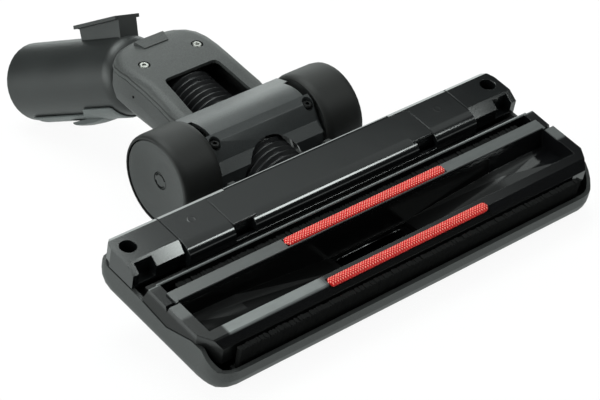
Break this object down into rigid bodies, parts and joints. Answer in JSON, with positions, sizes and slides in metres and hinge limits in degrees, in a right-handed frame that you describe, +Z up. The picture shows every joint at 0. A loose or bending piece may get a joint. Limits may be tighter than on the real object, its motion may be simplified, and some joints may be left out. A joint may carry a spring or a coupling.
{
  "type": "vacuum floor brush",
  "caption": "Combination vacuum floor brush lying sole up: suction channel, lint strips, retracting bristles, rear wheels, tilting neck with flexible hose and a swivelling wand tube.",
  "frame": {"origin": "centre of the bounding box in plan, on the floor that the brush lies on", "axes": "+X across the head along the axle, +Y from the front lip of the head towards the mouth of the wand tube, +Z up. The brush lies on its back as in the picture, so the gliding face of the sole looks up and leans towards the front by the resting tilt of about 15 degrees about X"},
  "size_m": [0.272, 0.329, 0.0849],
  "materials": {
    "charcoal_plastic": "fine matte moulding",
    "black_gloss_plastic": "smooth gloss moulding",
    "dark_grey_plastic": "satin moulding",
    "wheel_rubber": "soft matte",
    "hose_plastic": "flexible corrugated",
    "red_lint_fabric": "short directional pile",
    "black_bristle": "dense fine bristle",
    "zinc_steel": "bright zinc plate"
  },
  "bodies": {
    "head": {"top_cover": "charcoal_plastic", "sole_plate": "black_gloss_plastic", "front_lint_strip": "red_lint_fabric", "rear_lint_strip": "red_lint_fabric", "rear_bar": "black_gloss_plastic", "rear_insert": "black_gloss_plastic", "end_block_left": "black_gloss_plastic", "end_block_right": "black_gloss_plastic", "throat_duct": "dark_grey_plastic", "axle_carriage": "dark_grey_plastic", "axle_housing": "dark_grey_plastic", "flex_hose": "hose_plastic", "hose_cuff_front": "dark_grey_plastic", "bar_screw_left": "zinc_steel", "bar_screw_right": "zinc_steel", "housing_screw_left": "zinc_steel", "housing_screw_right": "zinc_steel", "pedal_pin_left": "zinc_steel", "pedal_pin_right": "zinc_steel", "axle_pin_left": "zinc_steel", "axle_pin_right": "zinc_steel"},
    "brush": {"brush_frame": "dark_grey_plastic", "front_bristles": "black_bristle", "rear_bristles": "black_bristle"},
    "pedal": {"foot_pedal": "charcoal_plastic"},
    "left_wheel": {"wheel_disc_left": "dark_grey_plastic", "tyre_left": "wheel_rubber", "hub_clip_left": "dark_grey_plastic"},
    "right_wheel": {"wheel_disc_right": "dark_grey_plastic", "tyre_right": "wheel_rubber", "hub_clip_right": "dark_grey_plastic"},
    "neck": {"neck_base": "charcoal_plastic", "neck_shell": "charcoal_plastic", "neck_screw_left": "zinc_steel", "neck_screw_right": "zinc_steel", "swivel_bearing": "dark_grey_plastic", "hose_cuff_rear": "dark_grey_plastic"},
    "tube": {"swivel_tube": "charcoal_plastic", "latch_saddle": "dark_grey_plastic"},
    "lever": {"release_lever": "dark_grey_plastic"}
  },
  "joints": [
    {"name": "neck_tilt", "type": "hinge", "parent": "head", "child": "neck", "pos_m": [0, -0.02401, 0.04107], "axis": [-1, 0, 0], "range_deg": [0, 75], "deforming": ["flex_hose"]},
    {"name": "tube_swivel", "type": "hinge", "parent": "neck", "child": "tube", "pos_m": [0, 0.05407, 0.05746], "axis": [0, 0.9625, 0.2712], "range_deg": [-60, 30]},
    {"name": "wheel_left_spin", "type": "hinge", "parent": "head", "child": "left_wheel", "pos_m": [-0.05, -0.02401, 0.04107], "axis": [1, 0, 0], "continuous": true},
    {"name": "wheel_right_spin", "type": "hinge", "parent": "head", "child": "right_wheel", "pos_m": [0.05, -0.02401, 0.04107], "axis": [1, 0, 0], "continuous": true},
    {"name": "pedal_rock", "type": "hinge", "parent": "head", "child": "pedal", "pos_m": [0, -0.11832, 0.00743], "axis": [-1, 0, 0], "range_deg": [0, 14]},
    {"name": "brush_lift", "type": "slide", "parent": "head", "child": "brush", "axis": [0, -0.2712, 0.9625], "range_m": [0, 0.0095]},
    {"name": "lever_press", "type": "hinge", "parent": "tube", "child": "lever", "pos_m": [-0.01337, 0.09573, 0.01737], "axis": [0.9659, 0.0702, -0.2491], "range_deg": [0, 7], "stiffness_Nm_per_rad": 0.12, "springref_deg": -5.73}
  ],
  "couplings": [
    {"joint": "pedal_rock", "follows": "brush_lift", "rad_per_m": 25.72}
  ]
}
